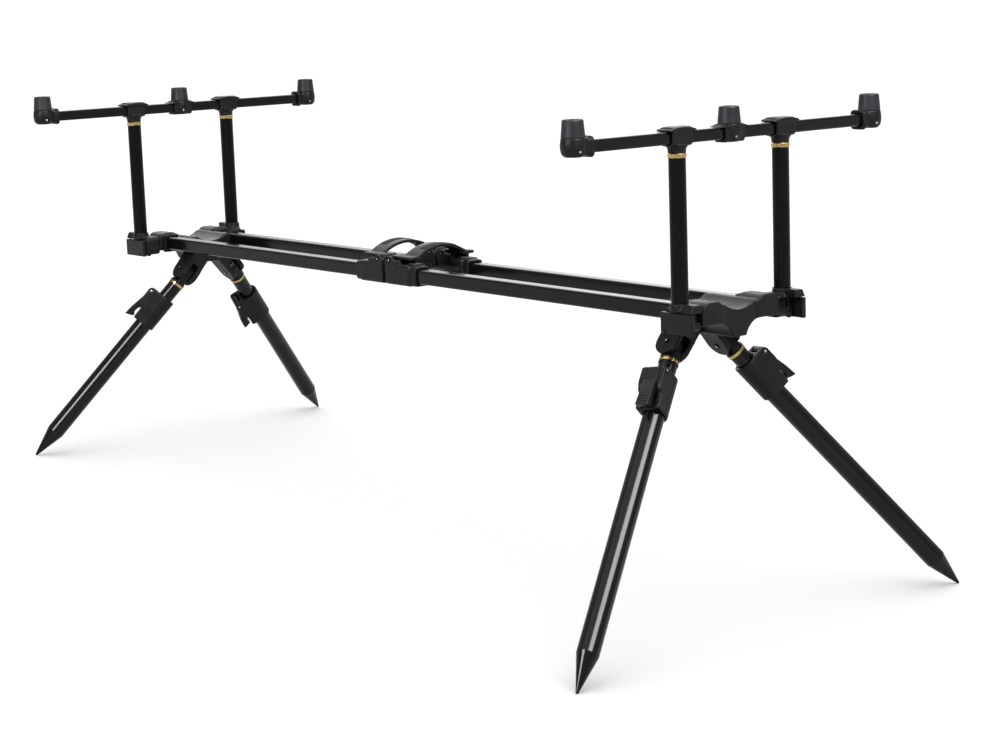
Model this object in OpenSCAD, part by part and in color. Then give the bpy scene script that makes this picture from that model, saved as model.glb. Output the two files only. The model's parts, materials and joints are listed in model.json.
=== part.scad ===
// Rod pod for three rods: a twin-rail frame that telescopes, two bars that fold down, four folding legs.
// Lengths are in millimetres. The frame is drawn level, with X along the rails and the rails' centre
// lines at Z = 0. The near end is +X and stands on the longer legs, so the whole pod is pitched
// at the end until all four spikes touch Z = 0.

/* [Frame] */
// distance from the middle of the pod to the uprights
upright_x = 510; // [440:5:600]
// distance from the centre line to each rail
rail_y = 37.4; // [34:0.2:44]
// outside width of the square rails
rail_w = 16.2; // [14:0.2:18]
// corner radius of the rails
rail_r = 2.8; // [1.5:0.1:4]
// wall of the rails
rail_wall = 1.4; // [1:0.1:2]
// length of each slide rail on either side of the middle
slide_half = 330; // [260:5:380]

/* [Legs] */
// sideways splay of the legs
leg_splay = 39.6; // [30:0.2:46]
// outward lean of the legs along the rails
leg_lean = 16.9; // [10:0.1:22]
// hinge to spike tip, near end
near_leg = 376; // [340:2:400]
// hinge to spike tip, far end
far_leg = 304; // [280:2:340]
// outside diameter of the inner leg tube
leg_in_d = 19; // [17:0.2:20]
// wall of both leg tubes
leg_wall = 1.2; // [1:0.1:1.6]
// length of the cone on each spike
spike_len = 38; // [30:1:50]
// radius of the rounded spike tip
tip_r = 1.5; // [1:0.1:3]
// turn of the near front clamp about its leg
near_front_turn = 80; // [60:1:85]
// turn of the near rear clamp about its leg
near_rear_turn = 78; // [40:1:85]
// turn of the far front clamp about its leg
far_front_turn = 60; // [40:1:85]
// turn of the far rear clamp about its leg
far_rear_turn = -63; // [-90:1:-40]
// how much lower the near front clamp sits on its leg
near_front_drop = 0; // [-6:0.5:20]
// how much lower the near rear clamp sits on its leg
near_rear_drop = -2; // [-6:0.5:20]
// how much lower the far front clamp sits on its leg
far_front_drop = 6; // [-6:0.5:20]
// how much lower the far rear clamp sits on its leg
far_rear_drop = 16.5; // [-6:0.5:20]

/* [Bars] */
// distance from the centre line to each upright
upright_y = 69.5; // [68:0.5:78]
// outside diameter of the uprights
upright_d = 17; // [15:0.2:18]
// wall of the uprights
upright_wall = 1.5; // [1.2:0.1:2]
// height of the gold ring's lower edge above the rails
ring_z = 154; // [130:1:190]
// distance from the centre line to each outer head
head_y = 198; // [180:2:230]
// width of the square bar
bar_w = 12; // [11:0.2:13]
// wall of the bar tube
bar_wall = 1.2; // [1:0.1:1.6]
// radius of the hole in each thread insert
insert_hole_r = 4.76; // [3.5:0.02:5]

/* [Fits] */
// gap between pieces that slide or turn past each other
slide_gap = 0.3; // [0.25:0.05:0.4]
// gap round a pin that turns in a hole
pin_gap = 0.06; // [0.03:0.01:0.08]
// gap between pieces that are pressed or glued together
seat_gap = 0.05; // [0.02:0.01:0.08]

/* [Hidden] */
$fn = 64;
plastic = [0.13, 0.13, 0.14];
tube_black = [0.05, 0.05, 0.055];
gold = [0.80, 0.62, 0.25];
steel = [0.75, 0.76, 0.78];
brass = [0.72, 0.58, 0.30];

// hub
sleeve_w = rail_w + 13.8;
sleeve_low = -rail_w / 2 - 1.2;
sleeve_high = rail_w / 2 + 5;
sleeve_in = upright_x - 18;
hub_end = upright_x + 13;
rail_end = upright_x + 6;
sleeve_out = rail_y + sleeve_w / 2;
leg_inset = 49;
leg_x = upright_x - leg_inset;
leg_y = rail_y - 3.3;
leg_drop = rail_w / 2 + 28.8;
fork_r = 14;
fork_half = 11.5;
tang_half = 5;
hinge_pin_r = 2.5;
bolt_r = 4;

// coupler and bail
coupler_in = 2.5;
coupler_out = 47;
rim_out = 57;
rail_start = 14;
collar_half = rail_w / 2 + 5;
collar_low = -rail_w / 2 - 3.4;
collar_high = rail_w / 2 + 4.6;
bail_x = 11;
bail_z = rail_w / 2 + 7.9;
bail_pin_r = 2;
barrel_r = 5.5;
barrel_half = 8;
bail_near = 20;
bail_far = 46;
bail_thick = 3.6;
bail_rise = 11.5;

// rails
slide_w = rail_w - 2 * rail_wall - 2 * slide_gap;

// base block and its lever
block_in = sleeve_out + 0.4;
block_out = upright_y + 2.7;
block_near = -19;
block_far = 11;
block_low = -13.5;
block_high = 9.5;
lip_r = upright_d / 2 + 1.6;
lip_high = 15;
upright_low = 10.5;
spigot_r = upright_d / 2 - upright_wall - seat_gap;
spigot_high = 45;
plate_in = block_out + 1;
plate_out = plate_in + 5;
plate_near = -19;
plate_far = 24;
plate_low = -14.6;
plate_high = 6;
brow_near = -8;
brow_long = 32;
brow_high = 14.6;
brow_lean = 4.2;
lever_in = 4.2;
lever_y = plate_in - lever_in;
lever_z = -11.6;
lever_barrel_r = 2.6;
lever_web = 1.5;
lever_swing = 0.8;
lug_r = 3.4;
lug_wide = 4;
trunnion_r = 1.8;

// bar, tees and heads
ring_h = 4.4;
ring_top = ring_z + ring_h;
bar_z = ring_z + 19;
tee_low = ring_z + 11;
tee_high = ring_z + 29.5;
tee_roof_r = 55;
head_low = ring_z + 10;
head_roof_r = 60;
head_sleeve = 18;
cap_low = ring_z + 28;
cap_high = cap_low + 16.4;
insert_low = cap_low + 2;
insert_r = insert_hole_r + 1.6;

// legs
leg_out_in_r = leg_in_d / 2 + slide_gap;
leg_out_r = leg_out_in_r + leg_wall;
leg_in_in_r = leg_in_d / 2 - leg_wall;
flange_top = fork_r + 0.5;
flange_low = flange_top + 2.9;
leg_ring_low = flange_low + 4.2;
clamp_top = leg_ring_low + 14.5;
clamp_len = 45;
clamp_lip = 5;
clamp_r = leg_out_r + 2.6;
clamp_half = leg_out_r + 2.4;
slot_floor = leg_out_r + 1.8;
cam_x = slot_floor + 5.8;
cam_drop = 4.2;
cam_r = 4.2;
lever_half = 6.9;
cam_lever_len = 44;
cheek_len = 17;
cheek_step = 2.9;
spike_plug = 18.5;

// stance: both tips in the level frame, the pitch that brings them to one height, and the shift that
// centres the pod over the origin
near_tip_x = leg_x + near_leg * sin(leg_lean);
near_tip_z = -leg_drop - near_leg * cos(leg_lean) * cos(leg_splay);
far_tip_x = -leg_x - far_leg * sin(leg_lean);
far_tip_z = -leg_drop - far_leg * cos(leg_lean) * cos(leg_splay);
pitch = atan2(far_tip_z - near_tip_z, near_tip_x - far_tip_x);
stand_z = tip_r - near_tip_x * sin(pitch) - near_tip_z * cos(pitch);
near_edge = near_tip_x * cos(pitch) - near_tip_z * sin(pitch) + tip_r;
far_foot = far_tip_x * cos(pitch) - far_tip_z * sin(pitch) - tip_r;
far_head = -(upright_x + 12.4) * cos(pitch) - (ring_z + 22) * sin(pitch);
frame_x = -(near_edge + min(far_foot, far_head)) / 2;

// places the level frame on its feet
module standing() {
  translate([frame_x, 0, stand_z])
    rotate([0, -pitch, 0])
      children();
}

// near end when e is 1, far end when e is -1
module at_end(e) {
  standing()
    mirror([e < 0 ? 1 : 0, 0, 0])
      children();
}

// front when s is -1, rear when s is 1
module at_side(s) {
  mirror([0, s < 0 ? 1 : 0, 0])
    children();
}

// a leg's own frame: hinge pin along Y, leg down -Z, outer side +X
module at_leg(e, s) {
  at_end(e)
    at_side(s)
      translate([leg_x, leg_y, -leg_drop])
        rotate([leg_splay, 0, 0])
          rotate([0, -leg_lean, 0])
            children();
}

// the fork's frame: as the leg's, without the lean
module at_fork(s) {
  at_side(s)
    translate([leg_x, leg_y, -leg_drop])
      rotate([leg_splay, 0, 0])
        children();
}

// box from one corner to the other
module block(low, high) {
  translate(low)
    cube(high - low);
}

module rod_y(x, z, y0, y1, r) {
  translate([x, y0, z])
    rotate([-90, 0, 0])
      cylinder(h = y1 - y0, r = r);
}

module rod_x(y, z, x0, x1, r) {
  translate([x0, y, z])
    rotate([0, 90, 0])
      cylinder(h = x1 - x0, r = r);
}

module rounded_square(w, h, r) {
  square([w - 2 * r, h], center = true);
  square([w, h - 2 * r], center = true);
  for (x = [-1, 1], y = [-1, 1])
    translate([x * (w / 2 - r), y * (h / 2 - r)])
      circle(r);
}

// rounded bar along X, centred on Y = 0 and Z = 0
module bar_along_x(x0, x1, w, h, r) {
  translate([x0, 0, 0])
    rotate([90, 0, 90])
      linear_extrude(x1 - x0)
        rounded_square(w, h, r);
}

// rounded bar along Y, centred on X = 0 and Z = 0
module bar_along_y(y0, y1, w, h, r) {
  translate([0, y1, 0])
    rotate([90, 0, 0])
      linear_extrude(y1 - y0)
        rounded_square(w, h, r);
}

// outline of a rail sleeve: flat underneath, high round shoulders
module sleeve_outline() {
  shoulder = 11;
  translate([-sleeve_w / 2, sleeve_low])
    square([sleeve_w, sleeve_high - shoulder - sleeve_low]);
  translate([-sleeve_w / 2 + shoulder, sleeve_low])
    square([sleeve_w - 2 * shoulder, sleeve_high - sleeve_low]);
  for (y = [-1, 1])
    translate([y * (sleeve_w / 2 - shoulder), sleeve_high - shoulder])
      circle(shoulder);
}

module hub(e) {
  trunk_in = leg_x - 12;
  at_end(e)
    difference() {
      union() {
        for (s = [-1, 1]) {
          // rail sleeve
          translate([sleeve_in, s * rail_y, 0])
            rotate([90, 0, 90])
              linear_extrude(hub_end - sleeve_in)
                sleeve_outline();
          // fork cheeks and the stem they grow from
          at_fork(s) {
            rod_y(0, 0, -fork_half, fork_half, fork_r);
            block([-fork_r, -fork_half, 0], [fork_r, fork_half, 28]);
          }
        }
        // trunk between the rails, with a saddle on top and a hollow under each rail
        difference() {
          block([trunk_in, -rail_y + 8, -25], [hub_end - 2, rail_y - 8, sleeve_high - 4]);
          rod_x(0, 36, trunk_in - 1, hub_end, 34);
          for (s = [-1, 1])
            rod_x(s * 29.5, -30, trunk_in - 1, hub_end, 21);
        }
      }
      for (s = [-1, 1]) {
        // rail socket
        translate([0, s * rail_y, 0])
          bar_along_x(leg_x - 20, rail_end, rail_w + 2 * seat_gap, rail_w + 2 * seat_gap, rail_r + seat_gap);
        // slot for the leg's tang, and the hinge pin's hole
        at_fork(s) {
          block([-40, -tang_half - slide_gap, -fork_r - 1], [40, tang_half + slide_gap, fork_r - 2.5]);
          rod_y(0, 0, -fork_half - 1, fork_half + 1, hinge_pin_r + seat_gap);
        }
        // hole for the pivot bolt
        at_side(s)
          rod_y(upright_x, 0, rail_y + rail_w / 2 + 0.5, sleeve_out + 1, bolt_r + seat_gap);
      }
    }
}

module rails(e) {
  at_end(e)
    for (s = [-1, 1])
      translate([0, s * rail_y, 0])
        difference() {
          bar_along_x(rail_start, rail_end - 0.5, rail_w, rail_w, rail_r);
          bar_along_x(0, rail_end, rail_w - 2 * rail_wall, rail_w - 2 * rail_wall, rail_r - rail_wall);
        }
}

module coupler(e) {
  at_end(e)
    difference() {
      union() {
        for (s = [-1, 1])
          translate([0, s * rail_y, 0]) {
            // collar round the rail
            translate([0, 0, (collar_low + collar_high) / 2])
              bar_along_x(coupler_in, coupler_out, 2 * collar_half, collar_high - collar_low, 4);
            bar_along_x(coupler_out - 1, rim_out, rail_w + 6, rail_w + 6, 4);
            // lugs for the bail pin
            block([coupler_in, -collar_half, 0], [30, collar_half, bail_z + 1]);
            for (y = [-1, 1])
              rod_y(bail_x, bail_z, y < 0 ? -collar_half : barrel_half + slide_gap,
                    y < 0 ? -barrel_half - slide_gap : collar_half, 5);
          }
        // bridge between the collars
        block([8, -rail_y, -rail_w / 2], [42, rail_y, 2]);
      }
      for (s = [-1, 1])
        translate([0, s * rail_y, 0]) {
          bar_along_x(rail_start, rim_out + 1, rail_w + 2 * seat_gap, rail_w + 2 * seat_gap, rail_r + seat_gap);
          bar_along_x(0, rail_start + 1, slide_w + 2 * slide_gap, slide_w + 2 * slide_gap, 1.6);
          rod_y(bail_x, bail_z, -collar_half - 1, collar_half + 1, bail_pin_r + seat_gap);
          // room for the bail's barrel between the lugs
          block([coupler_in - 1, -barrel_half - slide_gap, bail_z - barrel_r - 0.6],
                [31, barrel_half + slide_gap, bail_z + 8]);
        }
    }
}

module bail(e) {
  chord = rail_y - barrel_half + 5;
  arc_r = (chord * chord + bail_rise * bail_rise) / (2 * bail_rise);
  strap_z = bail_z + 3.4;
  arc_z = strap_z + bail_rise - arc_r;
  at_end(e)
    difference() {
      union() {
        for (s = [-1, 1])
          translate([0, s * rail_y, 0]) {
            rod_y(bail_x, bail_z, -barrel_half, barrel_half, barrel_r);
            block([bail_x, -barrel_half, strap_z - bail_thick / 2], [bail_far, barrel_half, strap_z + bail_thick / 2]);
          }
        // arched strap across both rails
        intersection() {
          difference() {
            rod_x(0, arc_z, bail_near, bail_far, arc_r + bail_thick / 2);
            rod_x(0, arc_z, bail_near - 1, bail_far + 1, arc_r - bail_thick / 2);
          }
          block([bail_near, -chord - 1, strap_z - bail_thick / 2], [bail_far, chord + 1, strap_z + bail_rise + 10]);
        }
      }
      for (s = [-1, 1])
        rod_y(bail_x, bail_z, s * rail_y - barrel_half - 1, s * rail_y + barrel_half + 1, bail_pin_r + pin_gap);
    }
}

module slide_rails() {
  color(tube_black)
    standing()
      for (s = [-1, 1])
        translate([0, s * rail_y, 0])
          difference() {
            bar_along_x(-slide_half, slide_half, slide_w, slide_w, 1.3);
            bar_along_x(-slide_half - 1, slide_half + 1, slide_w - 2.4, slide_w - 2.4, 0.8);
          }
}

module pins(e) {
  at_end(e)
    for (s = [-1, 1]) {
      // leg hinge pin
      at_fork(s)
        rod_y(0, 0, -fork_half - 0.6, fork_half + 0.6, hinge_pin_r);
      // pivot bolt under the upright
      at_side(s)
        rod_y(upright_x, 0, rail_y + rail_w / 2 + 1, block_out - 1.5, bolt_r);
      // bail pin
      rod_y(bail_x, bail_z, s * rail_y - collar_half - 0.4, s * rail_y + collar_half + 0.4, bail_pin_r);
    }
}

module base_blocks(e) {
  at_end(e)
    for (s = [-1, 1])
      at_side(s)
        difference() {
          union() {
            translate([upright_x + (block_near + block_far) / 2, 0, (block_low + block_high) / 2])
              bar_along_y(block_in, block_out, block_far - block_near, block_high - block_low, 5);
            // round lip that the upright stands in
            translate([upright_x, upright_y, block_high - 3])
              cylinder(h = lip_high - block_high + 3, r = lip_r);
            // sloped brow above the lever
            translate([upright_x + brow_near, 0, 0])
              rotate([90, 0, 90])
                linear_extrude(brow_long)
                  polygon([[upright_y - 6, plate_high + 0.7], [plate_out - 0.4, plate_high + 0.7],
                           [plate_out - brow_lean, brow_high], [upright_y - 6, brow_high]]);
            // lugs for the lever, hidden behind its plate
            for (x = [block_near, block_far - lug_wide])
              rod_x(lever_y, lever_z, upright_x + x, upright_x + x + lug_wide, lug_r);
          }
          // room for the lever's barrel and its web
          rod_x(lever_y, lever_z, upright_x + block_near + lug_wide, upright_x + block_far - lug_wide,
                lever_barrel_r + lever_swing);
          block([upright_x + block_near + lug_wide, lever_y, lever_z - 10],
                [upright_x + block_far - lug_wide, plate_in + 1, lever_z + lever_web + slide_gap]);
          // window in the end that faces outwards
          block([upright_x + bolt_r + 2.4, block_in - 1, -5], [upright_x + block_far + 1, block_out - 6, 5]);
          // seat for the upright
          translate([upright_x, upright_y, upright_low])
            cylinder(h = 20, r = upright_d / 2 + seat_gap);
          rod_y(upright_x, 0, block_in - 1, plate_out + 1, bolt_r + pin_gap);
          rod_x(lever_y, lever_z, upright_x - 25, upright_x + 25, trunnion_r + pin_gap);
        }
}

// cores that the uprights slip over
module spigots(e) {
  at_end(e)
    for (s = [-1, 1])
      translate([upright_x, s * upright_y, upright_low - 2])
        cylinder(h = spigot_high - upright_low + 2, r = spigot_r);
}

module uprights(e) {
  at_end(e)
    for (s = [-1, 1])
      translate([upright_x, s * upright_y, 0])
        difference() {
          translate([0, 0, upright_low + 0.1])
            cylinder(h = ring_z - upright_low - 0.1, r = upright_d / 2);
          translate([0, 0, upright_low - 1])
            cylinder(h = ring_z + 10, r = upright_d / 2 - upright_wall);
        }
}

module upright_rings(e) {
  at_end(e)
    for (s = [-1, 1])
      translate([upright_x, s * upright_y, ring_z])
        difference() {
          rotate_extrude()
            polygon([[2, 0], [upright_d / 2 + 0.2, 0], [upright_d / 2 + 0.7, 0.6],
                     [upright_d / 2 + 0.7, ring_h - 0.6], [upright_d / 2 + 0.2, ring_h], [2, ring_h]]);
          translate([0, 0, -1])
            cylinder(h = ring_h + 2, r = upright_d / 2 - upright_wall);
        }
}

module tees(e) {
  plug_r = upright_d / 2 - upright_wall - seat_gap;
  at_end(e)
    for (s = [-1, 1])
      translate([upright_x, s * upright_y, 0])
        difference() {
          union() {
            translate([0, 0, ring_z - 24])
              cylinder(h = 30, r = plug_r);
            // neck that flares into the sleeve
            translate([0, 0, ring_top])
              rotate_extrude()
                polygon([[0, 0], [upright_d / 2 + 0.4, 0], [upright_d / 2 + 0.4, 4], [bar_w / 2 + 6, 8.5], [0, 8.5]]);
            translate([0, 0, (tee_low + tee_high) / 2])
              bar_along_y(-13, 13, bar_w + 6.4, tee_high - tee_low, 4);
            // roof with drooping ends
            translate([0, 0, tee_high - 3])
              intersection() {
                rod_x(0, 3 - tee_roof_r, -bar_w / 2 - 4.6, bar_w / 2 + 4.6, tee_roof_r);
                block([-20, -17, -1.5], [20, 17, 4]);
              }
          }
          translate([0, 0, bar_z])
            bar_along_y(-40, 40, bar_w + 2 * seat_gap, bar_w + 2 * seat_gap, 2.4);
        }
}

module bar(e) {
  at_end(e)
    translate([upright_x, 0, bar_z])
      difference() {
        bar_along_y(-head_y - 3, head_y + 3, bar_w, bar_w, 2.4);
        bar_along_y(-head_y - 4, head_y + 4, bar_w - 2 * bar_wall, bar_w - 2 * bar_wall, 1.2);
      }
}

module heads(e) {
  at_end(e)
    translate([upright_x, 0, 0])
      difference() {
        union() {
          for (s = [-1, 0, 1])
            translate([0, s * head_y, head_low])
              rotate_extrude()
                polygon([[0, 0], [8.6, 0], [11.4, 3], [12.4, 8], [12.4, 12], [11.6, 18], [0, 18]]);
          // sleeve of each outer head round the end of the bar, with a wider rim
          for (s = [-1, 1])
            at_side(s)
              translate([0, 0, bar_z]) {
                bar_along_y(head_y - head_sleeve, head_y, bar_w + 5, bar_w + 5, 3.5);
                bar_along_y(head_y - head_sleeve, head_y - head_sleeve + 4, bar_w + 8, bar_w + 8, 4.5);
              }
          // centre head's sleeve and its roof
          translate([0, 0, bar_z])
            bar_along_y(-13, 13, bar_w + 6, bar_w + 6, 3.5);
          translate([0, 0, cap_low - 2.2])
            intersection() {
              rod_x(0, 2 - head_roof_r, -bar_w / 2 - 4.4, bar_w / 2 + 4.4, head_roof_r);
              block([-20, -18, -1.2], [20, 18, 2.2]);
            }
        }
        translate([0, 0, bar_z])
          bar_along_y(-head_y - 3.2, head_y + 3.2, bar_w + 2 * seat_gap, bar_w + 2 * seat_gap, 2.4);
      }
}

module caps(e) {
  at_end(e)
    for (s = [-1, 0, 1])
      translate([upright_x, s * head_y, 0])
        difference() {
          rotate_extrude()
            polygon([[0, cap_low], [11.4, cap_low], [11.4, cap_low + 1], [10.1, cap_high - 1.2],
                     [9.3, cap_high], [0, cap_high]]);
          translate([0, 0, insert_low])
            cylinder(h = 30, r = insert_r + seat_gap);
        }
}

module inserts(e) {
  at_end(e)
    for (s = [-1, 0, 1])
      translate([upright_x, s * head_y, insert_low])
        difference() {
          cylinder(h = cap_high - insert_low - 0.4, r = insert_r);
          translate([0, 0, 1])
            cylinder(h = 30, r = insert_hole_r);
        }
}

module base_lever(e, s) {
  low_x = block_near + lug_wide + slide_gap;
  high_x = block_far - lug_wide - slide_gap;
  at_end(e)
    at_side(s)
      translate([upright_x, 0, 0])
        difference() {
          union() {
            rod_x(lever_y, lever_z, low_x, high_x, lever_barrel_r);
            rod_x(lever_y, lever_z, block_near + 0.4, block_far - 0.4, trunnion_r);
            block([low_x, lever_y, lever_z - lever_web], [high_x, plate_out - 1, lever_z + lever_web]);
            block([plate_near, plate_in, plate_low], [plate_far, plate_out, plate_high]);
          }
          // finger notch low in the outer face
          rod_y(-11, plate_low + 1.4, plate_out - 1.5, plate_out + 8, 2.6);
        }
}

module knuckle(e, s) {
  at_leg(e, s)
    difference() {
      union() {
        rod_y(0, 0, -tang_half, tang_half, fork_r - 4);
        block([-9.5, -tang_half, -flange_top - 1], [9.5, tang_half, -2]);
        translate([0, 0, -flange_low])
          rotate_extrude()
            polygon([[0, 0], [leg_in_d / 2 + 0.4, 0], [leg_in_d / 2 + 0.4, flange_low - flange_top - 1],
                     [leg_in_d / 2 - 0.6, flange_low - flange_top], [0, flange_low - flange_top]]);
        // plug inside the tube
        translate([0, 0, -flange_low - 26])
          cylinder(h = 27, r = leg_in_in_r - seat_gap);
      }
      rod_y(0, 0, -tang_half - 1, tang_half + 1, hinge_pin_r + pin_gap);
    }
}

module leg_ring(e, s) {
  at_leg(e, s)
    translate([0, 0, -leg_ring_low])
      difference() {
        rotate_extrude()
          polygon([[2, 0], [leg_in_d / 2 + 0.1, 0], [leg_in_d / 2 + 0.7, 0.6],
                   [leg_in_d / 2 + 0.7, 3.6], [leg_in_d / 2 + 0.1, 4.2], [2, 4.2]]);
        translate([0, 0, -1])
          cylinder(h = 7, r = leg_in_in_r);
      }
}

module inner_tube(e, s, leg) {
  at_leg(e, s)
    difference() {
      translate([0, 0, -leg + spike_len + 24])
        cylinder(h = leg - spike_len - 24 - leg_ring_low, r = leg_in_d / 2);
      translate([0, 0, -leg])
        cylinder(h = leg, r = leg_in_in_r);
    }
}

module outer_tube(e, s, leg, drop) {
  at_leg(e, s)
    difference() {
      translate([0, 0, -leg + spike_len])
        cylinder(h = leg - spike_len - clamp_top - drop - clamp_lip, r = leg_out_r);
      translate([0, 0, -leg])
        cylinder(h = leg, r = leg_out_in_r);
    }
}

module clamp(e, s, turn, drop) {
  edge = cam_x + cam_drop;
  at_leg(e, s)
    translate([0, 0, -clamp_top - drop])
      rotate([0, 0, turn])
        difference() {
          union() {
            translate([0, 0, -clamp_len])
              cylinder(h = clamp_len, r = clamp_r);
            // cheeks, high at the pin and stepped back where the lever's tip stands free
            translate([0, clamp_half, 0])
              rotate([90, 0, 0])
                linear_extrude(2 * clamp_half)
                  polygon([[0, 0], [cam_x, 0], [cam_x, -cam_drop], [edge, -cam_drop], [edge, -cheek_len],
                           [edge - 0.8, -cheek_len - 4.5], [edge - 3, -cheek_len - 9],
                           [cam_x - cheek_step + 0.6, -cheek_len - 12], [cam_x - cheek_step, -cheek_len - 14.5],
                           [cam_x - cheek_step, 2 - clamp_len], [cam_x - cheek_step - 1.2, -clamp_len],
                           [0, -clamp_len]]);
            rod_y(cam_x, -cam_drop, -clamp_half, clamp_half, cam_drop);
          }
          // leg tubes
          translate([0, 0, -clamp_len - 1])
            cylinder(h = clamp_len + 1 - clamp_lip + seat_gap, r = leg_out_r + seat_gap);
          translate([0, 0, -clamp_len])
            cylinder(h = clamp_len + 1, r = leg_out_in_r);
          // slot for the cam lever
          block([slot_floor, -lever_half - slide_gap, -clamp_len - 1], [cam_x + 40, lever_half + slide_gap, 1]);
          rod_y(cam_x, -cam_drop, -clamp_half - 1, clamp_half + 1, trunnion_r + pin_gap);
        }
}

module cam_lever(e, s, turn, drop) {
  tip = -cam_lever_len;
  at_leg(e, s)
    translate([0, 0, -clamp_top - drop])
      rotate([0, 0, turn])
        translate([cam_x, 0, -cam_drop]) {
          rod_y(0, 0, -lever_half, lever_half, cam_r);
          rod_y(0, 0, -clamp_half + 0.2, clamp_half - 0.2, trunnion_r);
          // thick arm whose tip flares out and hooks back towards the leg
          translate([0, lever_half, 0])
            rotate([90, 0, 0])
              linear_extrude(2 * lever_half)
                polygon([[-3.4, -1], [4.2, -1], [4.6, -13], [6, tip + 23], [7.4, tip + 15], [8.7, tip],
                         [4.5, tip + 1.2], [-1.5, tip + 4], [-1, tip + 6.5], [0.4, tip + 8], [0.9, tip + 11],
                         [0.2, tip + 14.5], [-1.4, tip + 17.5], [-3, tip + 22], [-3.8, -12]]);
        }
}

module spike(e, s, leg) {
  at_leg(e, s) {
    translate([0, 0, -leg])
      cylinder(h = spike_len, r1 = tip_r, r2 = leg_out_r);
    translate([0, 0, -leg])
      sphere(tip_r);
    translate([0, 0, -leg + spike_len - 0.5])
      cylinder(h = spike_plug, r = leg_out_in_r - seat_gap);
  }
}

module far_hub() { color(plastic) hub(-1); }
module near_hub() { color(plastic) hub(1); }
module far_rails() { color(tube_black) rails(-1); }
module near_rails() { color(tube_black) rails(1); }
module far_coupler() { color(plastic) coupler(-1); }
module near_coupler() { color(plastic) coupler(1); }
module far_bail() { color(plastic) bail(-1); }
module near_bail() { color(plastic) bail(1); }
module far_pins() { color(steel) pins(-1); }
module near_pins() { color(steel) pins(1); }

module far_base_blocks() { color(plastic) union() { base_blocks(-1); spigots(-1); } }
module far_uprights() { color(tube_black) uprights(-1); }
module far_upright_rings() { color(gold) upright_rings(-1); }
module far_tees() { color(plastic) tees(-1); }
module far_bar() { color(tube_black) bar(-1); }
module far_heads() { color(plastic) heads(-1); }
module far_caps() { color(plastic) caps(-1); }
module far_inserts() { color(brass) inserts(-1); }
module far_front_base_lever() { color(plastic) base_lever(-1, -1); }
module far_rear_base_lever() { color(plastic) base_lever(-1, 1); }

module near_base_blocks() { color(plastic) union() { base_blocks(1); spigots(1); } }
module near_uprights() { color(tube_black) uprights(1); }
module near_upright_rings() { color(gold) upright_rings(1); }
module near_tees() { color(plastic) tees(1); }
module near_bar() { color(tube_black) bar(1); }
module near_heads() { color(plastic) heads(1); }
module near_caps() { color(plastic) caps(1); }
module near_inserts() { color(brass) inserts(1); }
module near_front_base_lever() { color(plastic) base_lever(1, -1); }
module near_rear_base_lever() { color(plastic) base_lever(1, 1); }

module far_front_knuckle() { color(plastic) knuckle(-1, -1); }
module far_front_ring() { color(gold) leg_ring(-1, -1); }
module far_front_inner() { color(tube_black) inner_tube(-1, -1, far_leg); }
module far_front_outer() { color(tube_black) outer_tube(-1, -1, far_leg, far_front_drop); }
module far_front_clamp() { color(plastic) clamp(-1, -1, far_front_turn, far_front_drop); }
module far_front_lever() { color(plastic) cam_lever(-1, -1, far_front_turn, far_front_drop); }
module far_front_spike() { color(tube_black) spike(-1, -1, far_leg); }

module far_rear_knuckle() { color(plastic) knuckle(-1, 1); }
module far_rear_ring() { color(gold) leg_ring(-1, 1); }
module far_rear_inner() { color(tube_black) inner_tube(-1, 1, far_leg); }
module far_rear_outer() { color(tube_black) outer_tube(-1, 1, far_leg, far_rear_drop); }
module far_rear_clamp() { color(plastic) clamp(-1, 1, far_rear_turn, far_rear_drop); }
module far_rear_lever() { color(plastic) cam_lever(-1, 1, far_rear_turn, far_rear_drop); }
module far_rear_spike() { color(tube_black) spike(-1, 1, far_leg); }

module near_front_knuckle() { color(plastic) knuckle(1, -1); }
module near_front_ring() { color(gold) leg_ring(1, -1); }
module near_front_inner() { color(tube_black) inner_tube(1, -1, near_leg); }
module near_front_outer() { color(tube_black) outer_tube(1, -1, near_leg, near_front_drop); }
module near_front_clamp() { color(plastic) clamp(1, -1, near_front_turn, near_front_drop); }
module near_front_lever() { color(plastic) cam_lever(1, -1, near_front_turn, near_front_drop); }
module near_front_spike() { color(tube_black) spike(1, -1, near_leg); }

module near_rear_knuckle() { color(plastic) knuckle(1, 1); }
module near_rear_ring() { color(gold) leg_ring(1, 1); }
module near_rear_inner() { color(tube_black) inner_tube(1, 1, near_leg); }
module near_rear_outer() { color(tube_black) outer_tube(1, 1, near_leg, near_rear_drop); }
module near_rear_clamp() { color(plastic) clamp(1, 1, near_rear_turn, near_rear_drop); }
module near_rear_lever() { color(plastic) cam_lever(1, 1, near_rear_turn, near_rear_drop); }
module near_rear_spike() { color(tube_black) spike(1, 1, near_leg); }

far_hub();
near_hub();
far_rails();
near_rails();
slide_rails();
far_coupler();
near_coupler();
far_bail();
near_bail();
far_pins();
near_pins();
far_base_blocks();
far_uprights();
far_upright_rings();
far_tees();
far_bar();
far_heads();
far_caps();
far_inserts();
far_front_base_lever();
far_rear_base_lever();
near_base_blocks();
near_uprights();
near_upright_rings();
near_tees();
near_bar();
near_heads();
near_caps();
near_inserts();
near_front_base_lever();
near_rear_base_lever();
far_front_knuckle();
far_front_ring();
far_front_inner();
far_front_outer();
far_front_clamp();
far_front_lever();
far_front_spike();
far_rear_knuckle();
far_rear_ring();
far_rear_inner();
far_rear_outer();
far_rear_clamp();
far_rear_lever();
far_rear_spike();
near_front_knuckle();
near_front_ring();
near_front_inner();
near_front_outer();
near_front_clamp();
near_front_lever();
near_front_spike();
near_rear_knuckle();
near_rear_ring();
near_rear_inner();
near_rear_outer();
near_rear_clamp();
near_rear_lever();
near_rear_spike();
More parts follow.
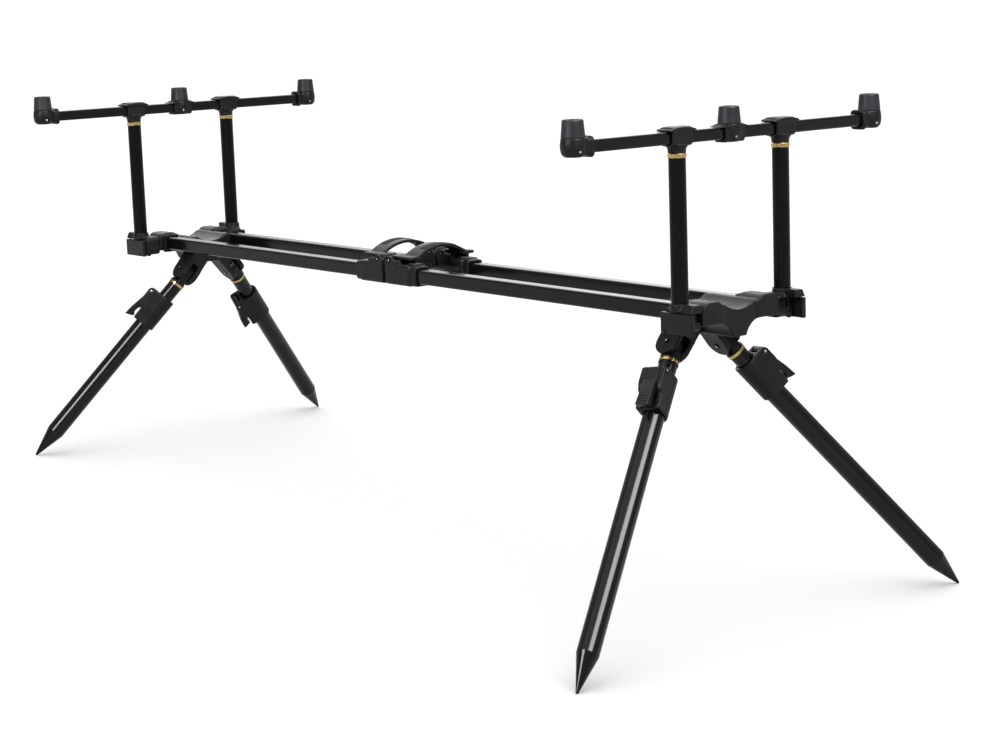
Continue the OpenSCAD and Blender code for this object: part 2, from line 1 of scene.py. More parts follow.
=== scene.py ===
# %% [markdown]
# # A folding rod pod
# The pod is a twin-rail frame on four splayed, spiked legs. Two bars with threaded heads stand on it.
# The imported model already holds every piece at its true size, in metres. This lesson gives the pieces
# their finishes, softens the moulded ones and adds the small parts that catch the eye.

# %% Load the frame
import json
from math import atan2, pi, radians

import bmesh
import bpy
from mathutils import Euler, Matrix, Vector


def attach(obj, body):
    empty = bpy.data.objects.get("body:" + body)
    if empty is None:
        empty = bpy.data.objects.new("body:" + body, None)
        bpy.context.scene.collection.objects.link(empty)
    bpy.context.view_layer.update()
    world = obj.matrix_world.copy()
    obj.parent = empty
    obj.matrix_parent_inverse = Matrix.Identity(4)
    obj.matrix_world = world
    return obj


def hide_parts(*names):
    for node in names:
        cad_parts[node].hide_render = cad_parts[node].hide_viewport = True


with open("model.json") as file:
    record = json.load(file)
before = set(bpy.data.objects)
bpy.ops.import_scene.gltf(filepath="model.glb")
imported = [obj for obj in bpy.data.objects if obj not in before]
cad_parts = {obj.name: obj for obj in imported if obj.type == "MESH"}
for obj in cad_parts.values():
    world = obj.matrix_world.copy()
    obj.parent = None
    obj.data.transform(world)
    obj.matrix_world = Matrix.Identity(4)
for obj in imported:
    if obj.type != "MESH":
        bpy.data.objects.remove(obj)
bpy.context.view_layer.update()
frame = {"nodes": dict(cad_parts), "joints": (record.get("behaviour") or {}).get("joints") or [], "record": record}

nodes = frame["nodes"]

# %% [markdown]
# ## Where things are
# The frame is pitched a little, because the near legs are longer. A piece that is added here is drawn in
# a simple frame of its own, such as a leg's, and one matrix carries it to its place. Typing world
# coordinates would work too, but every slanted leg would need its own numbers. Hinges, thread holes and
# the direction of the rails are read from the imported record, so the small parts follow the model.

# %% Frames of the pod, its ends and its legs
MM = 0.001
ENDS = {"far": -1, "near": 1}
SIDES = {"front": -1, "rear": 1}
LEGS = [(end, side) for end in ENDS for side in SIDES]
# Millimetres from the rails' centre line up to the middle of a thread hole.
HEAD_HEIGHT = 191.5
LEG_SPLAY, LEG_RAKE = radians(39.6), radians(16.9)
CLAMP_TURN = {"near_front": 80, "near_rear": 78, "far_front": 60, "far_rear": -63}

pivots = {joint["name"]: Vector(joint["pos_m"]) for joint in frame["joints"] if joint["type"] == "hinge"}
holes = {mount["name"]: Vector(mount["pos_m"]) for mount in frame["record"]["mounts"]}
rail_way = Vector(next(joint["axis"] for joint in frame["joints"] if joint["name"] == "slide_rails_extend"))
PITCHED = Matrix.Rotation(-atan2(rail_way.z, rail_way.x), 4, "Y")
between_bars = (holes["far_centre_thread"] + holes["near_centre_thread"]) / 2
STAND = Matrix.Translation(between_bars) @ PITCHED @ Matrix.Translation((0, 0, -HEAD_HEIGHT * MM))


def end_frame(end):
    return STAND @ Matrix.Diagonal((ENDS[end], 1, 1, 1))


def frame_at(point, axes):
    return Matrix.Translation(point) @ axes.to_3x3().to_4x4()


def fork_frame(end, side):
    axes = end_frame(end) @ Matrix.Diagonal((1, SIDES[side], 1, 1)) @ Matrix.Rotation(LEG_SPLAY, 4, "X")
    return frame_at(pivots[f"{end}_{side}_leg_fold"], axes)


def leg_frame(end, side):
    return fork_frame(end, side) @ Matrix.Rotation(-LEG_RAKE, 4, "Y")


def cam_frame(end, side):
    turn = Matrix.Rotation(radians(CLAMP_TURN[f"{end}_{side}"]), 4, "Z")
    return frame_at(pivots[f"{end}_{side}_cam_flip"], leg_frame(end, side) @ turn)


for end, side in LEGS:
    print(end, side, "leg hinges at", [round(value, 4) for value in fork_frame(end, side).translation])

# %% [markdown]
# ## Camera
# The photograph was taken from the near front corner, a little above the rails. A long lens keeps
# the two ends of the pod close in size. A camera starts out looking straight down, so it tilts up,
# rolls a touch and then turns round the upright axis to its heading.

# %% Make the camera
LENS, SENSOR, SIGHT = 82.402, 36, 100
CAMERA_PLACE = (2.054696, -1.553348, 0.719187)
TILT, ROLL, HEADING = radians(78.156189), radians(0.242149), radians(51.141847)
camera_data = bpy.data.cameras.new("camera")
camera_data.lens = LENS
camera_data.sensor_width = SENSOR
camera_data.clip_end = SIGHT
camera = bpy.data.objects.new("camera", camera_data)
bpy.context.collection.objects.link(camera)
bpy.context.scene.camera = camera
camera.matrix_world = Matrix.Translation(CAMERA_PLACE) @ Euler((TILT, ROLL, HEADING)).to_matrix().to_4x4()
print("camera at", CAMERA_PLACE, "with a lens of", LENS, "mm")

# %% [markdown]
# ## Materials: one function for colours and one for nodes
# Colours are written as sRGB hex values, as a paint chart gives them, and turned to linear light.
# A shader graph is a list of nodes, so one small function that adds a node keeps each recipe short.
# The sockets of a Mix node share their names, so its two colours and its result go by number.

# %% Helpers for materials
COLOUR_A, COLOUR_B, COLOUR_OUT = 6, 7, 2
NOISE_LOW, NOISE_HIGH = 0.3, 0.7


def linear(hex_colour):
    channels = [int(hex_colour[i : i + 2], 16) / 255 for i in (1, 3, 5)]
    return [c / 12.92 if c <= 0.04045 else ((c + 0.055) / 1.055) ** 2.4 for c in channels] + [1]


def add(tree, kind, settings, links=()):
    node = tree.nodes.new(kind)
    for name, value in settings.items():
        if isinstance(name, int) or name in node.inputs:
            node.inputs[name].default_value = value
        else:
            setattr(node, name, value)
    for name, source in links:
        tree.links.new(source, node.inputs[name])
    return node


def start(name, settings):
    material = bpy.data.materials.new(name)
    material.use_nodes = True
    tree = material.node_tree
    shader = tree.nodes["Principled BSDF"]
    for socket, value in settings.items():
        shader.inputs[socket].default_value = value
    place = add(tree, "ShaderNodeTexCoord", {}).outputs["Object"]
    return material, tree, shader, place


def two_tones(dark, light):
    return {"data_type": "RGBA", COLOUR_A: linear(dark), COLOUR_B: linear(light)}


def dress(tree, shader, tone, sheen, bump):
    tree.links.new(tone.outputs[COLOUR_OUT], shader.inputs["Base Color"])
    tree.links.new(sheen.outputs[0], shader.inputs["Roughness"])
    tree.links.new(bump.outputs[0], shader.inputs["Normal"])


print("nylon black in linear light", [round(value, 4) for value in linear("#08080a")])

# %% [markdown]
# ## Glass-filled nylon
# Hubs, clamps, levers and heads are injection moulded in black nylon. The tool's spark-eroded skin leaves
# a fine grain, and handling polishes it in patches, so roughness drifts over some 25 mm. The real grain
# is near 0.1 mm: it is drawn at 0.7 mm, the finest that shows in the render.

# %% Moulded nylon
PATCH, GRAIN, GRAIN_DEPTH = 25 * MM, 0.7 * MM, 0.12 * MM
POLISHED, WORN = 0.06, 0.08


def moulded_nylon(name, dark, light, rough, gloss):
    material, tree, shader, place = start(name, {"Specular IOR Level": gloss})
    drift = add(tree, "ShaderNodeTexNoise", {"Scale": 1 / PATCH, "Detail": 3}, [("Vector", place)])
    grain = add(tree, "ShaderNodeTexNoise", {"Scale": 1 / GRAIN, "Detail": 2}, [("Vector", place)])
    tone = add(tree, "ShaderNodeMix", two_tones(dark, light), [("Factor", drift.outputs[0])])
    reach = {"From Min": NOISE_LOW, "From Max": NOISE_HIGH}
    reach.update({"To Min": rough - POLISHED, "To Max": rough + WORN})
    sheen = add(tree, "ShaderNodeMapRange", reach, [("Value", drift.outputs[0])])
    relief = {"Strength": 0.25, "Distance": GRAIN_DEPTH}
    bump = add(tree, "ShaderNodeBump", relief, [("Height", grain.outputs[0])])
    dress(tree, shader, tone, sheen, bump)
    return material


nylon = moulded_nylon("moulded_nylon", "#08080a", "#101012", rough=0.4, gloss=0.12)
lever_nylon = moulded_nylon("lever_nylon", "#07070a", "#0e0e10", rough=0.34, gloss=0.14)
# The caps are the same black nylon with a lighter colour: a painted lit tone for the light their upward sides
# catch from the lamps above.
cap_nylon = moulded_nylon("cap_nylon", "#0d0e11", "#16171b", rough=0.46, gloss=0.2)
print("made", nylon.name, lever_nylon.name, cap_nylon.name)

# %% [markdown]
# ## Anodised tube
# Rails, uprights, bars and legs are drawn aluminium tube, dyed black and sealed. Drawing leaves faint
# lines along the tube, so the noise is stretched 150 mm long and 1.5 mm wide. Each tube points its own
# way, so a Mapping node turns the pattern to the tube's axis. The dye hides the metal, so the tube is
# shaded as a dark sealed coat, and its gloss is matched for each kind of tube.

# %% Anodised aluminium
LINE_WIDTH, LINE_LENGTH, LINE_DEPTH = 1.5 * MM, 150 * MM, 0.05 * MM


def anodised_tube(name, axes, gloss):
    material, tree, shader, place = start(name, {"Specular IOR Level": gloss})
    stretch = {"vector_type": "TEXTURE", "Rotation": axes.to_euler()}
    stretch["Scale"] = (LINE_WIDTH, LINE_WIDTH, LINE_LENGTH)
    turned = add(tree, "ShaderNodeMapping", stretch, [("Vector", place)])
    lines = add(tree, "ShaderNodeTexNoise", {"Scale": 1, "Detail": 3}, [("Vector", turned.outputs[0])])
    tone = add(tree, "ShaderNodeMix", two_tones("#030304", "#080809"), [("Factor", lines.outputs[0])])
    reach = {"From Min": NOISE_LOW, "From Max": NOISE_HIGH, "To Min": 0.12, "To Max": 0.2}
    sheen = add(tree, "ShaderNodeMapRange", reach, [("Value", lines.outputs[0])])
    relief = {"Strength": 0.08, "Distance": LINE_DEPTH}
    bump = add(tree, "ShaderNodeBump", relief, [("Height", lines.outputs[0])])
    dress(tree, shader, tone, sheen, bump)
    return material


def axes_of(matrix):
    axis = (matrix.to_3x3() @ Vector((0, 0, 1))).normalized()
    return axis.to_track_quat("Z", "X").to_matrix()


along_x = (STAND @ Matrix.Rotation(pi / 2, 4, "Y")).to_3x3()
along_y = (STAND @ Matrix.Rotation(pi / 2, 4, "X")).to_3x3()
along_z = STAND.to_3x3()
along_leg = {leg: axes_of(leg_frame(*leg)) for leg in LEGS}
rail_tube = anodised_tube("anodised_rail", along_x, gloss=0.13)
bar_tube = anodised_tube("anodised_bar", along_y, gloss=0.15)
upright_tube = anodised_tube("anodised_upright", along_z, gloss=0.07)
leg_tube = {leg: anodised_tube("anodised_leg_" + "_".join(leg), along_leg[leg], gloss=0.19) for leg in LEGS}
print("made", rail_tube.name, bar_tube.name, upright_tube.name, "and", len(leg_tube), "for the legs")

# %% [markdown]
# ## Turned metals
# The gold rings, the thread inserts and the pins are turned on a lathe, which leaves fine circles round
# their axis. A wave along the axis, 0.5 mm from crest to crest so that it shows, gives those circles.
# At a scale of 1 a wave texture repeats every pi / 10, and the Mapping node makes its unit a millimetre.

# %% Gold anodised rings, brass inserts and steel pins
CREST, CREST_DEPTH, STAIN = 0.5, 0.05 * MM, 4
BRIGHT, DULL = 0.05, 0.08
WAVE_REPEAT = pi / 10


def turned_metal(name, dark, light, rough, axes):
    material, tree, shader, place = start(name, {"Metallic": 1})
    in_mm = {"vector_type": "TEXTURE", "Rotation": axes.to_euler(), "Scale": (MM, MM, MM)}
    turned = add(tree, "ShaderNodeMapping", in_mm, [("Vector", place)])
    wave = {"bands_direction": "Z", "Scale": WAVE_REPEAT / CREST, "Distortion": 0.4, "Detail": 2}
    circles = add(tree, "ShaderNodeTexWave", wave, [("Vector", turned.outputs[0])])
    patches = {"Scale": 1 / STAIN, "Detail": 3}
    stain = add(tree, "ShaderNodeTexNoise", patches, [("Vector", turned.outputs[0])])
    tone = add(tree, "ShaderNodeMix", two_tones(dark, light), [("Factor", stain.outputs[0])])
    reach = {"To Min": rough - BRIGHT, "To Max": rough + DULL}
    sheen = add(tree, "ShaderNodeMapRange", reach, [("Value", circles.outputs["Fac"])])
    relief = {"Strength": 0.15, "Distance": CREST_DEPTH}
    bump = add(tree, "ShaderNodeBump", relief, [("Height", circles.outputs["Fac"])])
    dress(tree, shader, tone, sheen, bump)
    return material


GOLD = ("#967f4e", "#bca371", 0.18)
upright_gold = turned_metal("gold_anodised_upright", *GOLD, along_z)
leg_gold = {leg: turned_metal("gold_anodised_" + "_".join(leg), *GOLD, along_leg[leg]) for leg in LEGS}
brass = turned_metal("turned_brass", "#5e4a24", "#7a6232", 0.3, along_z)
steel = turned_metal("drawn_steel", "#8f9092", "#b4b5b7", 0.28, along_y)
black_steel = turned_metal("blackened_steel", "#101012", "#1d1d20", 0.4, along_y)
print("made", upright_gold.name, brass.name, steel.name, black_steel.name)

# %% [markdown]
# ## Finishes on the pieces that stay as they are
# Tubes, rings, inserts, pins, spikes and caps have their true shape already. They could be copied and
# dressed as new pieces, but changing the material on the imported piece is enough.


# %% Give the plain pieces their finish
def refinish(node, material):
    materials = nodes[node].data.materials
    materials.clear()
    materials.append(material)


PLAIN = {"rails": rail_tube, "bar": bar_tube, "uprights": upright_tube, "upright_rings": upright_gold}
PLAIN.update({"inserts": brass, "pins": black_steel, "caps": cap_nylon})
for end in ENDS:
    for name, material in PLAIN.items():
        refinish(f"{end}_{name}", material)
refinish("slide_rails", rail_tube)
for leg in LEGS:
    refinish("_".join(leg) + "_ring", leg_gold[leg])
    for name in ("inner", "outer", "spike"):
        refinish("_".join(leg) + "_" + name, leg_tube[leg])
print("finished", sorted(PLAIN), "and the leg tubes")

# %% [markdown]
# ## Moulded pieces get soft edges
# A mould can't make a razor edge: nylon pieces have radii of about a millimetre that catch the light.
# Bevelling every edge of a solid with many crossing holes leaves spikes where short edges meet. A voxel
# remesh rebuilds the skin from small cells instead, and a few smoothing passes melt its edges.

# %% Finish a new piece
CRISP, SOFT = radians(32), radians(70)


def finish_piece(name, edit, material, body, place=None, sharp_angle=CRISP):
    if place is not None:
        bmesh.ops.transform(edit, matrix=place, verts=edit.verts)
    bmesh.ops.recalc_face_normals(edit, faces=edit.faces)
    mesh = bpy.data.meshes.new(name)
    edit.to_mesh(mesh)
    edit.free()
    mesh.shade_smooth()
    mesh.set_sharp_from_angle(angle=sharp_angle)
    mesh.materials.append(material)
    piece = bpy.data.objects.new(name, mesh)
    bpy.context.collection.objects.link(piece)
    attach(piece, body)
    return piece


# %% Soften the moulded pieces
SAME_POINT = 0.01 * MM


def soften(node, cell, passes, material, body):
    edit = bmesh.new()
    edit.from_mesh(nodes[node].data)
    bmesh.ops.remove_doubles(edit, verts=edit.verts, dist=SAME_POINT)
    blank = bpy.data.objects.new("blank", bpy.data.meshes.new("blank"))
    edit.to_mesh(blank.data)
    edit.free()
    bpy.context.collection.objects.link(blank)
    cells = blank.modifiers.new("cells", "REMESH")
    cells.mode = "VOXEL"
    cells.voxel_size = cell * MM
    skin = bpy.data.meshes.new_from_object(blank.evaluated_get(bpy.context.evaluated_depsgraph_get()))
    bpy.data.objects.remove(blank)
    edit = bmesh.new()
    edit.from_mesh(skin)
    bpy.data.meshes.remove(skin)
    every_way = dict(use_axis_x=True, use_axis_y=True, use_axis_z=True)
    for _ in range(passes):
        bmesh.ops.smooth_vert(edit, verts=edit.verts, factor=0.5, **every_way)
    print(node, len(edit.faces), "faces")
    piece = finish_piece(node + "_moulding", edit, material, body, sharp_angle=SOFT)
    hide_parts(node)


# Each row is a piece, its cell in millimetres, its smoothing passes, its finish and its body.
END_MOULDINGS = (
    ("hub", 0.8, 7, nylon, "frame"),
    ("coupler", 0.8, 6, nylon, "frame"),
    ("bail", 0.7, 5, nylon, "bail"),
    ("base_blocks", 0.7, 6, nylon, "bar_set"),
    ("tees", 0.7, 6, nylon, "bar_set"),
    ("heads", 0.7, 8, nylon, "bar_set"),
)
LEG_MOULDINGS = (
    ("base_lever", 0.5, 6, lever_nylon, "base_lever"),
    ("knuckle", 0.7, 4, nylon, "leg"),
    ("clamp", 0.7, 8, nylon, "foot"),
    ("lever", 0.5, 6, lever_nylon, "cam_lever"),
)
for end in ENDS:
    for name, cell, passes, material, body in END_MOULDINGS:
        soften(f"{end}_{name}", cell, passes, material, f"{end}_{body}")
    for side in SIDES:
        for name, cell, passes, material, body in LEG_MOULDINGS:
            soften(f"{end}_{side}_{name}", cell, passes, material, f"{end}_{side}_{body}")

# %% [markdown]
# ## Pin ends and screws
# Small bright dots mark the pivots: the ends of the lever pins, fork pins and bail pins, and a screw in
# each side of a head. A dark screw closes the end of each rail. A pin end could be a squashed ball, but
# the real ones are flat, so it is a short cylinder whose top rim is rounded. A screw's socket is the
# same top face, inset and pushed in.

# %% A pin end or a screw head
ROUND_STEPS = 24
RIM_SHARE, SOCKET_WALL_SHARE, SOCKET_DEPTH_SHARE = 0.35, 0.45, 0.8
BEVEL = dict(offset_type="OFFSET", profile=0.5, affect="EDGES", material=-1)


def top_face(edit):
    return max(edit.faces, key=lambda face: face.calc_center_median().z)


def round_head(radius, height, socket=False):
    edit = bmesh.new()
    r, h = radius * MM, height * MM
    bmesh.ops.create_cone(edit, cap_ends=True, segments=ROUND_STEPS, radius1=r, radius2=r, depth=2 * h)
    bmesh.ops.bevel(edit, geom=list(top_face(edit).edges), offset=RIM_SHARE * h, segments=2, **BEVEL)
    if socket:
        top = top_face(edit)
        bmesh.ops.inset_region(edit, faces=[top], thickness=SOCKET_WALL_SHARE * r, use_even_offset=True)
        hole = bmesh.ops.extrude_face_region(edit, geom=[top])
        moved = [v for v in hole["geom"] if isinstance(v, bmesh.types.BMVert)]
        bmesh.ops.translate(edit, vec=(0, 0, -SOCKET_DEPTH_SHARE * h), verts=moved)
        bmesh.ops.delete(edit, geom=[top], context="FACES_ONLY")
    return edit


# %% Pins of the legs and bails, screws of the rails
# A size is a radius and a height, and a reach is how far along the pivot the end sits, in millimetres.
CAM_PIN, CAM_PIN_REACH = (1.4, 0.5), 13.4
FORK_PIN, FORK_PIN_REACH = (1.2, 0.4), 12.1
BAIL_PIN, BAIL_PIN_REACH = (0.9, 0.3), 13.5
RAIL_SCREW, RAIL_Y, RAIL_SCREW_X, RAIL_SCREW_Z = (1.8, 0.4), 37.4, 523, 1
TO_Y = Matrix.Rotation(-pi / 2, 4, "X")
TO_X = Matrix.Rotation(pi / 2, 4, "Y")
for end, side in LEGS:
    leg = f"{end}_{side}"
    on_rail = Matrix.Translation((0, SIDES[side] * RAIL_Y * MM, 0))
    bail_pivot = frame_at(pivots[f"{end}_bail_open"], end_frame(end)) @ on_rail
    pins = (
        ("cam_pin", cam_frame(end, side), CAM_PIN, CAM_PIN_REACH, f"{leg}_foot"),
        ("fork_pin", fork_frame(end, side), FORK_PIN, FORK_PIN_REACH, f"{end}_frame"),
        ("bail_pin", bail_pivot, BAIL_PIN, BAIL_PIN_REACH, f"{end}_frame"),
    )
    for number, way in enumerate((-1, 1)):
        outwards = Matrix.Diagonal((1, way, 1, 1)) @ TO_Y
        for name, pivot, size, reach, body in pins:
            place = pivot @ Matrix.Translation((0, way * reach * MM, 0)) @ outwards
            finish_piece(f"{leg}_{name}_{number}", round_head(*size), steel, body, place)
    screw = Matrix.Translation((RAIL_SCREW_X * MM, 0, RAIL_SCREW_Z * MM))
    place = end_frame(end) @ on_rail @ screw @ TO_X
    edit = round_head(*RAIL_SCREW, socket=True)
    finish_piece(f"{leg}_rail_screw", edit, lever_nylon, f"{end}_frame", place)
print("pins and rail screws are on", len(LEGS), "legs")

# %% Screws in the sides of the heads
HEAD_SCREW, HEAD_HALF, SCREW_BACK, SCREW_DROP = (1.2, 0.6), 11.9, 2, 22
for hole, point in holes.items():
    end, head, _ = hole.split("_")
    for number, way in enumerate((-1, 1)):
        side_face = Matrix.Translation((way * HEAD_HALF * MM, -SCREW_BACK * MM, -SCREW_DROP * MM))
        place = frame_at(point, end_frame(end)) @ side_face @ Matrix.Diagonal((way, 1, 1, 1)) @ TO_X
        edit = round_head(*HEAD_SCREW, socket=True)
        finish_piece(f"{end}_{head}_screw_{number}", edit, steel, f"{end}_bar_set", place)
print("screws are in", len(holes), "heads")

# %% [markdown]
# ## Threads in the heads
# Each head holds a brass insert with a 20 per inch thread for an alarm or a rest. A bump could hint at
# it, but its turns show in the mouth of the hole. A thread is one small profile swept up a helix, which
# is what spin does when each step also moves along the axis.

# %% Internal threads
HOLE_R = frame["record"]["mounts"][0]["dims"]["r_mm"]
THREAD_PITCH, THREAD_TURNS, STEPS = 1.27, 9, 20
THREAD_ROOT, THREAD_CREST, THREAD_HALF = HOLE_R + 0.05, HOLE_R - 0.45, 0.5
THREAD_DROP = 5.8
NO_MERGE = dict(use_merge=False, use_duplicate=False)


def thread():
    edit = bmesh.new()
    corners = [(THREAD_ROOT, -THREAD_HALF), (THREAD_CREST, 0), (THREAD_ROOT, THREAD_HALF)]
    verts = [edit.verts.new((x * MM, 0, z * MM)) for x, z in corners]
    face = edit.faces.new(verts)
    bmesh.ops.spin(
        edit,
        geom=[face] + list(face.edges) + verts,
        cent=(0, 0, 0),
        axis=(0, 0, 1),
        dvec=(0, 0, THREAD_PITCH / STEPS * MM),
        angle=2 * pi * THREAD_TURNS,
        steps=THREAD_TURNS * STEPS,
        **NO_MERGE,
    )
    return edit


for hole, point in holes.items():
    end = hole.split("_")[0]
    place = frame_at(point, STAND) @ Matrix.Translation((0, 0, -THREAD_DROP * MM))
    finish_piece(hole, thread(), brass, f"{end}_bar_set", place)
print("threads of", THREAD_TURNS, "turns")

# %% [markdown]
# ## Dark shoulders of the leg rings
# Each gold ring sits between two thin black shoulders, so only its middle shines. A cylinder with a hole
# would do, but its edges would be sharp. A small profile with cut corners, spun once round the leg, makes
# a shoulder, merged where the spin meets itself.

# %% Ring shoulders
INNER_TUBE_R, SHOULDER_WALL, SHOULDER_WIDTH = 9.5, 0.8, 0.8
CORNER_IN, CORNER_UP, SEAM = 0.2, 0.3, 0.001 * MM
RING_DROP, SHOULDER_HEIGHTS = 21.6, (0.35, 3.85)
LEG_STEPS = 48


def shoulder():
    edit = bmesh.new()
    outer, half = INNER_TUBE_R + SHOULDER_WALL, SHOULDER_WIDTH / 2
    upper = [(outer, half - CORNER_UP), (outer - CORNER_IN, half), (INNER_TUBE_R, half)]
    lower = [(x, -z) for x, z in reversed(upper)]
    verts = [edit.verts.new((x * MM, 0, z * MM)) for x, z in lower + upper]
    edges = [edit.edges.new((a, b)) for a, b in zip(verts, verts[1:] + verts[:1])]
    bmesh.ops.spin(
        edit,
        geom=verts + edges,
        cent=(0, 0, 0),
        axis=(0, 0, 1),
        angle=2 * pi,
        steps=LEG_STEPS,
        use_merge=True,
        use_duplicate=False,
    )
    bmesh.ops.remove_doubles(edit, verts=edit.verts, dist=SEAM)
    return edit


for end, side in LEGS:
    for number, height in enumerate(SHOULDER_HEIGHTS):
        place = leg_frame(end, side) @ Matrix.Translation((0, 0, (height - RING_DROP) * MM))
        name = f"{end}_{side}_ring_shoulder_{number}"
        finish_piece(name, shoulder(), lever_nylon, f"{end}_{side}_leg", place)
print("shoulders on", len(LEGS), "rings")

# %% [markdown]
# ## Ridges on the rails
# Where the rails enter the hubs, two raised ridges run round each rail, the second one taller. A ridge
# could be cut from a block with a boolean. Here a box gets round corners, its ends are inset, and the two
# insets are bridged into a hole, which leaves clean edges to bevel.

# %% Rail ridges
RAIL_W = 16.2
RIDGE_X, RIDGE_STEP, RIDGE_LENGTH = 486.6, 3.6, 2.6
RIDGE_PROUD, RIDGE_GAP, RIDGE_CORNER, RIDGE_RIM = 2.5, 0.1, 4, 0.5
RIM_ANGLE, FACES_ALONG = radians(60), 0.9


def rail_ridge(proud):
    edit = bmesh.new()
    width = RAIL_W + 2 * proud
    bmesh.ops.create_cube(edit, size=MM)
    bmesh.ops.scale(edit, vec=(RIDGE_LENGTH, width, width), verts=edit.verts)
    half_length = 0.5 * RIDGE_LENGTH * MM
    long_edges = [e for e in edit.edges if abs((e.verts[0].co - e.verts[1].co).x) > half_length]
    bmesh.ops.bevel(edit, geom=long_edges, offset=RIDGE_CORNER * MM, segments=5, **BEVEL)
    caps = [f for f in edit.faces if abs(f.normal.x) > FACES_ALONG]
    bmesh.ops.inset_individual(edit, faces=caps, thickness=(proud - RIDGE_GAP) * MM)
    loops = [e for f in caps for e in f.edges]
    bmesh.ops.delete(edit, geom=caps, context="FACES_ONLY")
    bmesh.ops.bridge_loops(edit, edges=loops)
    bmesh.ops.recalc_face_normals(edit, faces=edit.faces)
    rims = [e for e in edit.edges if len(e.link_faces) == 2 and e.calc_face_angle() > RIM_ANGLE]
    bmesh.ops.bevel(edit, geom=rims, offset=RIDGE_RIM * MM, segments=2, **BEVEL)
    return edit


for end, side in LEGS:
    for number in range(2):
        x = RIDGE_X + number * RIDGE_STEP
        place = end_frame(end) @ Matrix.Translation((x * MM, SIDES[side] * RAIL_Y * MM, 0))
        edit = rail_ridge(RIDGE_PROUD + number)
        finish_piece(f"{end}_{side}_rail_ridge_{number}", edit, nylon, f"{end}_frame", place)
print("ridges at", RIDGE_X, "mm from the middle of the stand")

# %% [markdown]
# ## Ribs for the fingers
# The bails and the cam levers carry low ribs, so that wet fingers don't slip. A bump would vanish at
# their edges, so they are modelled. A bail is curved, so its rib is a short profile spun part of a turn
# about the arc's centre. A lever is flat there, and its rib is a small box with round edges.

# %% Ribs on the bails
ARC_R, ARC_Z, STRAP = 57.2, -26.3, 1.8
BAIL_RIB_X, BAIL_RIB_STEP, BAIL_RIBS = 34, 4, 3
RIB_SUNK, RIB_PROUD, RIB_FOOT, RIB_TOP = 0.3, 0.7, 0.8, 0.5
RIB_SWEEP, RIB_STEPS = radians(44), 16


def bail_rib(x):
    edit = bmesh.new()
    low, high = ARC_R + STRAP - RIB_SUNK, ARC_R + STRAP + RIB_PROUD
    shape = [(x - RIB_FOOT, low), (x + RIB_FOOT, low), (x + RIB_TOP, high), (x - RIB_TOP, high)]
    face = edit.faces.new([edit.verts.new((a * MM, 0, b * MM)) for a, b in shape])
    half_sweep = Matrix.Rotation(RIB_SWEEP / 2, 3, "X")
    bmesh.ops.rotate(edit, cent=(0, 0, 0), matrix=half_sweep, verts=edit.verts)
    bmesh.ops.spin(
        edit,
        geom=[face] + list(face.edges) + list(face.verts),
        cent=(0, 0, 0),
        axis=(1, 0, 0),
        angle=-RIB_SWEEP,
        steps=RIB_STEPS,
        **NO_MERGE,
    )
    return edit


for end in ENDS:
    for number in range(BAIL_RIBS):
        edit = bail_rib(BAIL_RIB_X + number * BAIL_RIB_STEP)
        place = end_frame(end) @ Matrix.Translation((0, 0, ARC_Z * MM))
        finish_piece(f"{end}_bail_rib_{number}", edit, nylon, f"{end}_bail", place)
print(BAIL_RIBS, "ribs on each bail")

# %% Ribs on the cam levers
LEVER_RIB, LEVER_RIB_ROUND, LEVER_RIBS = (1.2, 10.5, 1.1), 0.35, 3
LEVER_RIB_OUT, LEVER_RIB_DROP = 7.6, 33
LEVER_SLOPE, LEVER_RIB_STEP = 0.25, 3


def lever_rib():
    edit = bmesh.new()
    bmesh.ops.create_cube(edit, size=MM)
    bmesh.ops.scale(edit, vec=LEVER_RIB, verts=edit.verts)
    bmesh.ops.bevel(edit, geom=list(edit.edges), offset=LEVER_RIB_ROUND * MM, segments=2, **BEVEL)
    return edit


for end, side in LEGS:
    leg = f"{end}_{side}"
    for number in range(LEVER_RIBS):
        out = LEVER_RIB_OUT + number * LEVER_SLOPE
        drop = LEVER_RIB_DROP + number * LEVER_RIB_STEP
        place = cam_frame(end, side) @ Matrix.Translation((out * MM, 0, -drop * MM))
        name = f"{leg}_lever_rib_{number}"
        finish_piece(name, lever_rib(), lever_nylon, f"{leg}_cam_lever", place)
print(LEVER_RIBS, "ribs on each cam lever")

# %% [markdown]
# ## Floor and light
# The photograph has a white sweep that shows only faint shadows, while the pod stays nearly black. One
# set of lamps can't do both: what whitens the floor also greys the nylon. So a wide lamp overhead and a
# dim sky light everything softly, and three panels that leave the floor out draw the pale lines along
# the tubes. Light linking does that: the floor is in a collection that the panels exclude.

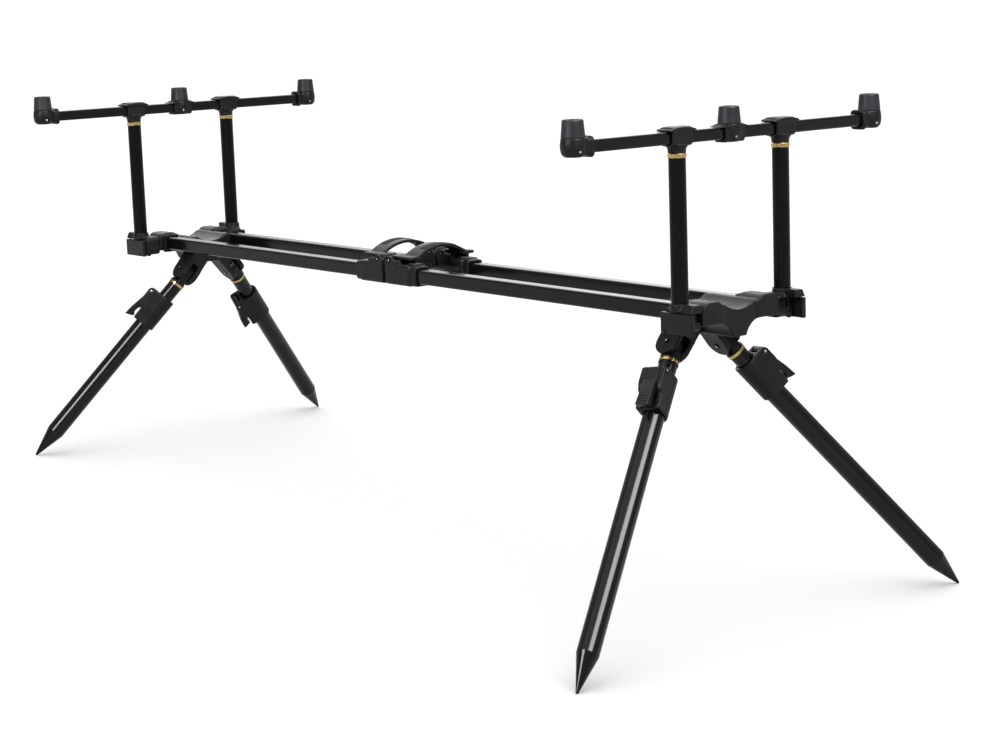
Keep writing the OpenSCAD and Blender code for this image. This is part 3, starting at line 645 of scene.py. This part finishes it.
# %% Floor
FLOOR_HALF = 40
floor_edit = bmesh.new()
bmesh.ops.create_grid(floor_edit, x_segments=1, y_segments=1, size=FLOOR_HALF)
floor_mesh = bpy.data.meshes.new("floor")
floor_edit.to_mesh(floor_mesh)
floor_edit.free()
floor = bpy.data.objects.new("floor", floor_mesh)
bpy.context.collection.objects.link(floor)
floor_paint = bpy.data.materials.new("floor_paint")
floor_paint.use_nodes = True
paint = floor_paint.node_tree.nodes["Principled BSDF"]
paint.inputs["Base Color"].default_value = linear("#fcfcfc")
paint.inputs["Roughness"].default_value = 0.9
floor_mesh.materials.append(floor_paint)
print("floor of", 2 * FLOOR_HALF, "m, finished in", floor_paint.name)

# %% Sky and overhead lamp
SKY_STRENGTH, OVERHEAD_STRENGTH, OVERHEAD_SPREAD = 0.55, 1.95, radians(90)
world = bpy.data.worlds.new("studio")
bpy.context.scene.world = world
world.use_nodes = True
sky = world.node_tree.nodes["Background"]
sky.inputs["Color"].default_value = (1, 1, 1, 1)
sky.inputs["Strength"].default_value = SKY_STRENGTH
overhead = bpy.data.lights.new("overhead", "SUN")
overhead.energy = OVERHEAD_STRENGTH
overhead.angle = OVERHEAD_SPREAD
bpy.context.collection.objects.link(bpy.data.objects.new("overhead", overhead))
print("sky at", SKY_STRENGTH, "and overhead lamp at", OVERHEAD_STRENGTH)

# %% Panels that leave the floor out
off_floor = bpy.data.collections.new("off_floor")
off_floor.objects.link(floor)
off_floor.collection_objects[0].light_linking.link_state = "EXCLUDE"


def panel(name, place, target, size, power):
    data = bpy.data.lights.new(name, "AREA")
    data.shape = "RECTANGLE"
    data.size, data.size_y = size
    data.energy = power
    light = bpy.data.objects.new(name, data)
    bpy.context.collection.objects.link(light)
    aim = Vector(place) - Vector(target)
    light.matrix_world = Matrix.Translation(place) @ aim.to_track_quat("Z", "Y").to_matrix().to_4x4()
    light.light_linking.receiver_collection = off_floor
    print(name, "of", power, "W")


panel("right_softbox", place=(1.99, -0.01, 2.15), target=(0.5, -0.2, 0.15), size=(1.6, 1.3), power=170)
panel("front_softbox", place=(0.38, -2.27, 1.24), target=(-0.5, -0.2, 0.15), size=(0.9, 0.7), power=65)
panel("back_panel", place=(-2.3, 1.85, 2.0), target=(0, 0, 0.3), size=(4.5, 3.2), power=85)
bpy.context.scene.view_settings.view_transform = "Standard"
